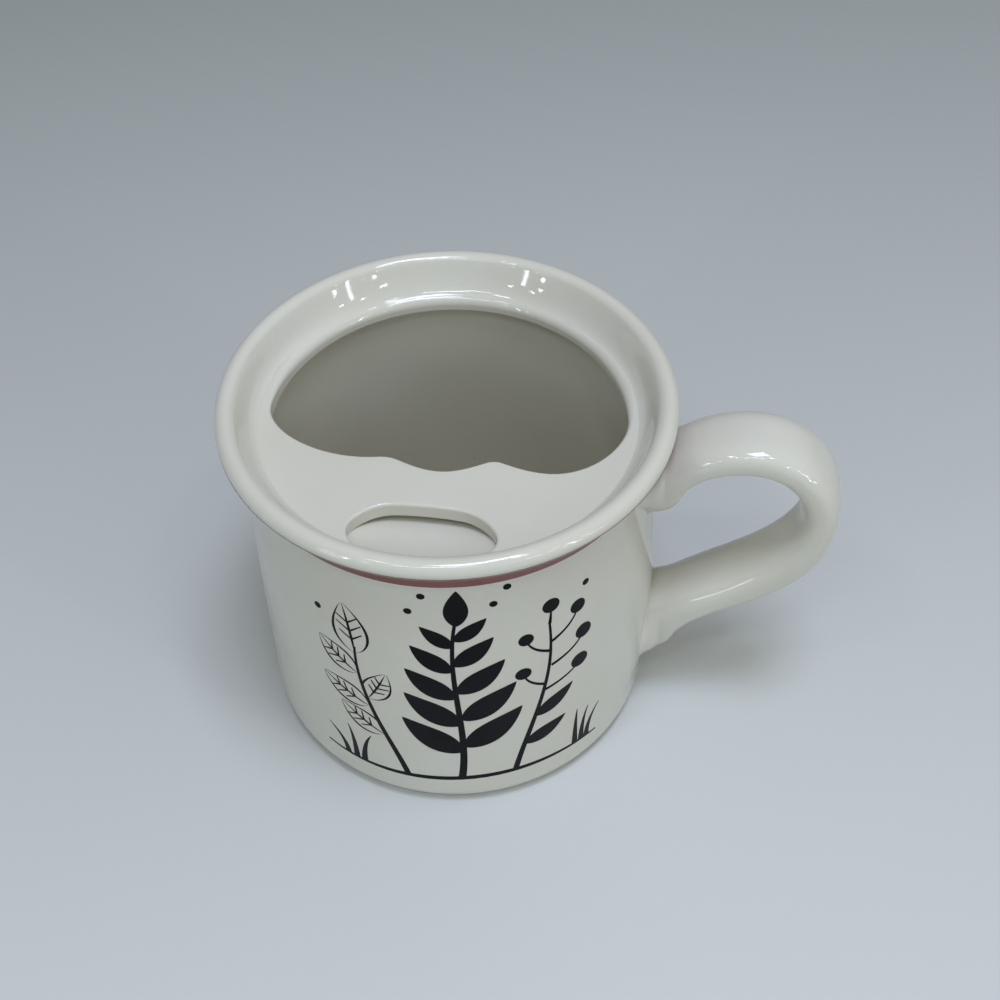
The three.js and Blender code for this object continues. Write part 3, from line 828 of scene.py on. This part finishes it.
class CUP_OT_pull_handle(bpy.types.Operator):
    """Pulls the oval strap through its sections and smooths both roots into the wall"""

    bl_idname = "cup.pull_handle"
    bl_label = "Pull the handle"

    def execute(self, context):
        cup = context.scene.cup_sizes
        strap = context.scene.handle_sizes
        sections = handle_sections(cup, strap)
        rows, around = len(sections) - 1, 72
        round_share, under_share = 0.7, 0.1  # of the bead: its round part, and its part below a root
        loop_side, outer_side = -0.6, 0.3  # the slip fades out towards the inside of the loop
        bm = bmesh.new()

        def oval(share):
            """One side of the full oval section."""
            return math.copysign(abs(share) ** (2 / strap.fullness), share)

        def bead_left(off):
            """Share of the bead left at a distance off the wall."""
            share = max(0.0, min(1.0, off / strap.flare_out))
            return round_share * math.sqrt(1 - share * share) + (1 - round_share) * ease(share, 1, 0)

        def fillet_left(off):
            """Width of the fillet left at a distance off the wall, round in section."""
            left = max(0.0, min(1.0, 1 - off / strap.fillet))
            return strap.fillet * (1 - math.sqrt(1 - left * left))

        def strap_point(row, column):
            """A point of the strap: its root sections follow the round wall."""
            outer, inner, out = sections[row]
            angle = 2 * math.pi * column / around
            across, up = oval(math.cos(angle)), oval(math.sin(angle))
            spot = inner.lerp(outer, (up + 1) / 2)
            z = spot.y
            off = spot.x - wall_radius(cup, min(z, cup.neck_height)) if out is None else out
            tuck = strap.tuck if off < 0 else 0.0
            slip = ease(up, loop_side, outer_side)
            bead = strap.flare * bead_left(off) * slip
            fillet = fillet_left(off)
            y = across * (strap.width / 2 + bead + fillet * slip + tuck)
            if out is not None:
                rise = up if outer.y > inner.y else -up
                z += rise * tuck
                if rise < 0:
                    z += rise * (under_share * bead + fillet)
            wall = wall_radius(cup, min(z, cup.neck_height)) + handle_swell(cup, z)
            bent = math.sqrt((wall + off) ** 2 - y * y)
            return axis_point(spot.x + (bent - spot.x) * ease(off, strap.upper_depth, 0), z, y)

        weave(bm, rows, around, strap_point)
        bmesh.ops.holes_fill(bm, edges=[e for e in bm.edges if e.is_boundary], sides=0)
        face_outwards(bm)
        stands_for = ["handle", "upper_handle_slip", "lower_handle_slip"]
        keep_piece(bm, "strap_handle", "Ivory glaze", stands_for)
        return {"FINISHED"}


# Line and print


class CUP_OT_fire_line(bpy.types.Operator):
    """Lays the thin coloured line round the wall and up under the lip"""

    bl_idname = "cup.fire_line"
    bl_label = "Fire the line"

    def execute(self, context):
        cup = context.scene.cup_sizes
        bm = bmesh.new()
        wall_steps, lip_steps = 10, 4
        heights = spaced(cup.line_low, flare_top(cup)[1], wall_steps)[:-1]
        path = [(wall_radius(cup, z), z) for z in heights]
        path += lip_roll(cup, LIP_START, cup.line_high, lip_steps)
        face = [axis_point(r + 2 * LAYER, z) for r, z in path]
        back = [axis_point(r + LAYER / 2, z) for r, z in reversed(path)]
        chain(bm, face + back, closed=True)
        turn(bm)
        keep_piece(bm, "red_line", "Dusty red line", ["rim_band"])
        return {"FINISHED"}


def bulge(t):
    """A hump from 0 to 1, highest a little before its middle."""
    return math.sin(math.pi * t**0.8)


def almond(t):
    """Width of a leaf along its rib, as a share of its widest."""
    return bulge(t) ** 0.85


class Sprig:
    """Draws flat stems, leaves and berries, in millimetres along and up the wall."""

    def __init__(self, scale):
        self.bm = bmesh.new()
        self.mm = MM * scale

    def blade(self, spine, width, swell, columns=1, keep=None):
        """A strip on a spine of four points, its width swelling along it; keep lists the strips that stay."""
        rows = 28
        along = interpolate_bezier(*[Vector((*p, 0)) * self.mm for p in spine], rows + 1)
        made = bmesh.ops.create_grid(self.bm, x_segments=rows, y_segments=columns, size=1)
        column = {v: round((v.co.y + 1) / 2 * columns) for v in made["verts"]}
        for v in made["verts"]:
            t = (v.co.x + 1) / 2
            i = round(t * rows)
            way = (along[min(i + 1, rows)] - along[max(i - 1, 0)]).normalized()
            v.co = along[i] + Vector((-way.y, way.x, 0)) * (v.co.y * swell(t) * width * self.mm / 2)
        if keep is not None:
            faces = {f for v in made["verts"] for f in v.link_faces}
            drop = [f for f in faces if min(column[v] for v in f.verts) not in keep]
            bmesh.ops.delete(self.bm, geom=drop, context="FACES")

    def stem(self, spine, width, thinning=0.6):
        """A stem that thins towards its tip."""
        self.blade(spine, width, lambda t: 1 - thinning * t)

    def leaf(self, foot, angle, length, width, droop=0.0, veined=False):
        """An almond leaf from its foot; a veined one is only its edges, rib and veins."""
        a = math.radians(angle)
        way, side = Vector((math.cos(a), math.sin(a))), Vector((-math.sin(a), math.cos(a)))
        foot = Vector(foot)
        early, late, late_droop = 0.33, 0.66, 0.4
        spine = [
            foot,
            foot + way * length * early,
            foot + way * length * late + side * droop * length * late_droop,
            foot + way * length + side * droop * length,
        ]
        if not veined:
            self.blade(spine, width, almond, 6)
            return
        edges_and_rib, blunt_end = (0, 6, 12), 0.06
        self.blade(spine, width, lambda t: blunt_end + almond(t), 13, edges_and_rib)
        vein_reach, vein_lean = 0.36, 0.75
        rib = interpolate_bezier(*spine, 101)
        for share in (0.28, 0.45, 0.62):
            root = rib[round(share * 100)]
            for hand in (-1, 1):
                tip = root + (way * vein_lean + side * hand) * (width * vein_reach * bulge(share))
                self.stem([root, root.lerp(tip, early), root.lerp(tip, late), tip], 0.5, 0.4)

    def berry(self, centre, radius):
        """A solid round berry."""
        bmesh.ops.create_circle(
            self.bm,
            cap_ends=True,
            cap_tris=True,
            radius=radius * self.mm,
            segments=28,
            matrix=Matrix.Translation(Vector((*centre, 0)) * self.mm),
        )

    def leafy_stem(self):
        """The middle stem, with pairs of solid leaves and one at its tip."""
        self.stem([(0, 0), (2.5, 20), (-3, 40), (0.5, 58)], 1.8)
        self.leaf((0.4, 55.6), 88, 11.2, 5.3)
        pairs = ((0.8, 13, 18), (0.6, 23.5, 16.5), (-0.3, 33.5, 14.5), (-0.7, 43, 12), (-0.2, 51, 9.5))
        for x, y, size in pairs:
            self.leaf((x, y), 33, size, size * 0.4, 0.16)
            self.leaf((x, y - 2), 147, size, size * 0.4, -0.16)

    def veined_stem(self):
        """The left stem, with open leaves that show their veins."""
        self.stem([(-12.5, 0), (-16, 14), (-23, 26), (-22.5, 44)], 1.5)
        self.leaf((-22.5, 42), 96, 15, 8.6, 0.05, veined=True)
        for x, y, angle, size in (
            (-17.6, 14.4, 150, 12.5),
            (-20.7, 24, 158, 12.5),
            (-20.4, 27, 60, 11.5),
            (-22.6, 35, 146, 12),
        ):
            self.leaf((x, y), angle, size, size * 0.56, 0.1 if angle < 90 else -0.1, veined=True)

    def berry_stem(self):
        """The right stem, with two leaves and berries on their own stalks."""
        self.stem([(12.5, 0), (15.5, 16), (22.5, 30), (21, 50)], 1.5)
        self.leaf((14.7, 10), 14, 11.5, 4.6, 0.2)
        self.leaf((17.3, 19.5), 22, 11.5, 4.5, 0.2)
        for x, y, reach, lift, radius in (
            (19.8, 28, 9, 4.5, 2.3),
            (20.1, 30, -5.5, 6.5, 1.9),
            (21.3, 36, 8.5, 6, 2.2),
            (21.4, 41, -6, 6.5, 1.8),
            (21.3, 44, 7, 7, 2.0),
            (21, 50, 0.4, 5.5, 2.1),
        ):
            shares = ((0, 0), (0.5, 0.2), (0.9, 0.5), (1, 1))
            stalk = [(x + reach * along, y + lift * up) for along, up in shares]
            self.stem(stalk, 0.9)
            self.berry(stalk[-1], radius)

    def ground(self):
        """The ground line, its grass and the drifting dots."""
        tallest = 14
        for foot, lean in ((-28, -5), (-25.6, -1.5), (-23.5, 2.5), (28.2, 0.5), (30.1, 2), (31.8, 4)):
            height = tallest - abs(lean)
            shares = ((0, 0), (0, 0.4), (0.4, 0.8), (1, 1))
            self.stem([(foot + lean * over, height * up) for over, up in shares], 1.8, 0.9)
        line = [(-34, 0.8), (-15, -1.6), (15, 1.8), (35, -0.4)]
        self.blade(line, 1.5, lambda t: 0.35 + 0.65 * math.sin(math.pi * t))
        for dot in ((-9.5, 60), (-6.5, 65), (8.5, 61.5), (11.5, 66), (-31.5, 52), (30.5, 57)):
            self.berry(dot, 0.9)


class CUP_OT_lay_print(bpy.types.Operator):
    """Lays the black leaf print on the wall"""

    bl_idname = "cup.lay_print"
    bl_label = "Lay the print"

    def execute(self, context):
        cup = context.scene.cup_sizes
        place = context.scene.print_sizes
        sprig = Sprig(place.scale)
        sprig.leafy_stem()
        sprig.veined_stem()
        sprig.berry_stem()
        sprig.ground()
        bm = sprig.bm
        bmesh.ops.remove_doubles(bm, verts=bm.verts[:], dist=WELD)
        for v in bm.verts:
            z = place.ground + v.co.y
            around = place.centre + v.co.x / cup.belly_radius
            r = wall_radius(cup, z) + LAYER
            v.co = (AXIS_X + r * math.sin(around), -r * math.cos(around), z)
        face_outwards(bm)
        for f in bm.faces:
            c = f.calc_center_median()
            if f.normal.x * (c.x - AXIS_X) + f.normal.y * c.y < 0:
                f.normal_flip()
        bmesh.ops.solidify(bm, geom=bm.faces[:], thickness=LAYER)
        keep_piece(bm, "leaf_print", "Black print")
        return {"FINISHED"}


# Stage


SKY_COLOUR, LAMP_COLOUR = (0.72, 0.79, 1.0), (0.87, 0.945, 0.96)
ROOM_COLOUR = (0.97, 0.965, 0.91, 1)
SPOT_REACH, SPOT_SIZE, SPOT_POWER = 0.9, (0.03, 0.03), 0.06
LEFT_SPOTS = ((115, 21), (128, 19), (132, 20), (117, 33), (130, 31), (133, 26))
RIGHT_SPOTS = ((20, 18), (32, 19), (37, 21), (42, 23), (21, 28), (32, 35))
# Name, bearing and lift in degrees, reach, width and height in metres, power in watts
LAMPS = (
    ("overhead", -50, 79, 1.0, (0.34, 0.24), 4.7),
    ("front_key", -80, 61, 1.0, (0.30, 0.04), 0.75),
    ("left_key", -125, 60, 1.0, (0.10, 0.05), 0.35),
    ("right_key", -36, 64, 1.0, (0.10, 0.05), 0.35),
    ("left_bar", -123, 20, 0.9, (0.03, 0.26), 0.4),
    ("right_bar", -27.5, 19, 0.9, (0.03, 0.34), 0.45),
    ("left_low", -129, 3, 0.9, (0.18, 0.035), 0.35),
    ("right_low", -22, 8, 0.9, (0.36, 0.03), 0.42),
    ("right_mid", -45, 30, 0.9, (0.05, 0.03), 0.1),
    ("front_left", -104, 56, 1.0, (0.16, 0.03), 0.35),
    *((f"left_spot_{a}_{e}", -a, e, SPOT_REACH, SPOT_SIZE, SPOT_POWER) for a, e in LEFT_SPOTS),
    *((f"right_spot_{a}_{e}", -a, e, SPOT_REACH, SPOT_SIZE, SPOT_POWER) for a, e in RIGHT_SPOTS),
)


def set_table(scene):
    """A wide round table top under the cup."""
    bm = bmesh.new()
    bmesh.ops.create_circle(bm, cap_ends=True, radius=4.0, segments=96)
    mesh = bpy.data.meshes.new("table")
    bm.to_mesh(mesh)
    bm.free()
    mesh.materials.append(finish_of("Pale table"))
    table = bpy.data.objects.new("table", mesh)
    scene.collection.objects.link(table)


def set_room(scene):
    """Soft light from the room, strongest from one side overhead."""
    world = bpy.data.worlds.new("Soft room")
    world.use_nodes = True
    tree = world.node_tree
    back = tree.nodes["Background"]
    back.inputs["Color"].default_value = ROOM_COLOUR
    brightest_way = (0.42, -0.06, 0.91)
    side_on, head_on = 0.15, 1.0
    dim, bright = 0.07, 0.48
    toward = add_node(tree, "ShaderNodeVectorMath", operation="DOT_PRODUCT")
    feed(tree, toward.inputs[0], add_node(tree, "ShaderNodeTexCoord").outputs["Generated"])
    feed(tree, toward.inputs[1], brightest_way)
    strength = stretch(tree, toward.outputs["Value"], side_on, head_on, dim, bright, "SMOOTHSTEP")
    tree.links.new(strength, back.inputs["Strength"])
    scene.world = world


def set_lamps(scene):
    """Soft lamps round the cup, all aimed at its upper half."""
    aim = Vector((AXIS_X, 0, 0.07))
    for name, bearing, lift, reach, size, power in LAMPS:
        data = bpy.data.lights.new(name, "AREA")
        data.shape = "RECTANGLE"
        data.size, data.size_y = size
        data.energy = power
        data.color = SKY_COLOUR if name == "overhead" else LAMP_COLOUR
        lamp = bpy.data.objects.new(name, data)
        a, e = math.radians(bearing), math.radians(lift)
        way = Vector((math.cos(a) * math.cos(e), math.sin(a) * math.cos(e), math.sin(e)))
        lamp.location = aim + way * reach
        lamp.rotation_euler = (-way).to_track_quat("-Z", "Y").to_euler()
        scene.collection.objects.link(lamp)


def set_camera(scene):
    """A camera above the drinking side, looking down past the handle."""
    data = bpy.data.cameras.new("camera")
    data.sensor_width = 36
    data.lens = 50
    data.clip_start = 0.01
    camera = bpy.data.objects.new("camera", data)
    scene.collection.objects.link(camera)
    stand, rise, turn_to = 0.21378, 0.29038, math.radians(13)
    heading, pitch, roll = math.radians(10.092), math.radians(47.818), math.radians(0.932)
    level = Vector((-math.sin(heading), math.cos(heading), 0))
    ahead = level * math.cos(pitch) - Vector((0, 0, math.sin(pitch)))
    right = Vector((math.cos(heading), math.sin(heading), 0))
    down = ahead.cross(right)
    right, down = (
        right * math.cos(roll) + down * math.sin(roll),
        down * math.cos(roll) - right * math.sin(roll),
    )
    pose = Matrix((right, -down, -ahead)).transposed().to_4x4()
    pose.translation = (AXIS_X + stand * math.sin(turn_to), -stand * math.cos(turn_to), rise)
    camera.matrix_world = pose
    scene.camera = camera


class CUP_OT_set_stage(bpy.types.Operator):
    """Sets the table, the light and the camera"""

    bl_idname = "cup.set_stage"
    bl_label = "Set the stage"

    def execute(self, context):
        scene = context.scene
        set_table(scene)
        set_room(scene)
        set_lamps(scene)
        set_camera(scene)
        scene.view_settings.view_transform = "Standard"
        return {"FINISHED"}


class CUP_PT_panel(bpy.types.Panel):
    """Lists the cup's pieces and sizes"""

    bl_idname = "CUP_PT_panel"
    bl_label = "Moustache cup"
    bl_space_type = "VIEW_3D"
    bl_region_type = "UI"
    bl_category = "Cup"

    def draw(self, context):
        column = self.layout.column()
        for operator in OPERATORS:
            column.operator(operator.bl_idname)
        for group in GROUPS:
            settings = getattr(context.scene, group)
            for key in settings.__annotations__:
                column.prop(settings, key)


OPERATORS = (
    CUP_OT_turn_body,
    CUP_OT_cut_guard,
    CUP_OT_press_scoop,
    CUP_OT_pull_handle,
    CUP_OT_fire_line,
    CUP_OT_lay_print,
    CUP_OT_set_stage,
)
GROUPS = {
    "cup_sizes": CupSizes,
    "guard_sizes": GuardSizes,
    "handle_sizes": HandleSizes,
    "print_sizes": PrintSizes,
    "cup_colours": CupColours,
}


def register():
    for name, group in GROUPS.items():
        bpy.utils.register_class(group)
        setattr(bpy.types.Scene, name, PointerProperty(type=group))
    for kind in (*OPERATORS, CUP_PT_panel):
        bpy.utils.register_class(kind)


def unregister():
    for kind in (CUP_PT_panel, *reversed(OPERATORS)):
        bpy.utils.unregister_class(kind)
    for name, group in reversed(GROUPS.items()):
        delattr(bpy.types.Scene, name)
        bpy.utils.unregister_class(group)


def main():
    register()
    bpy.ops.cup.turn_body()
    bpy.ops.cup.cut_guard()
    bpy.ops.cup.press_scoop()
    bpy.ops.cup.pull_handle()
    bpy.ops.cup.fire_line()
    bpy.ops.cup.lay_print()
    bpy.ops.cup.set_stage()


if __name__ == "__main__":
    main()
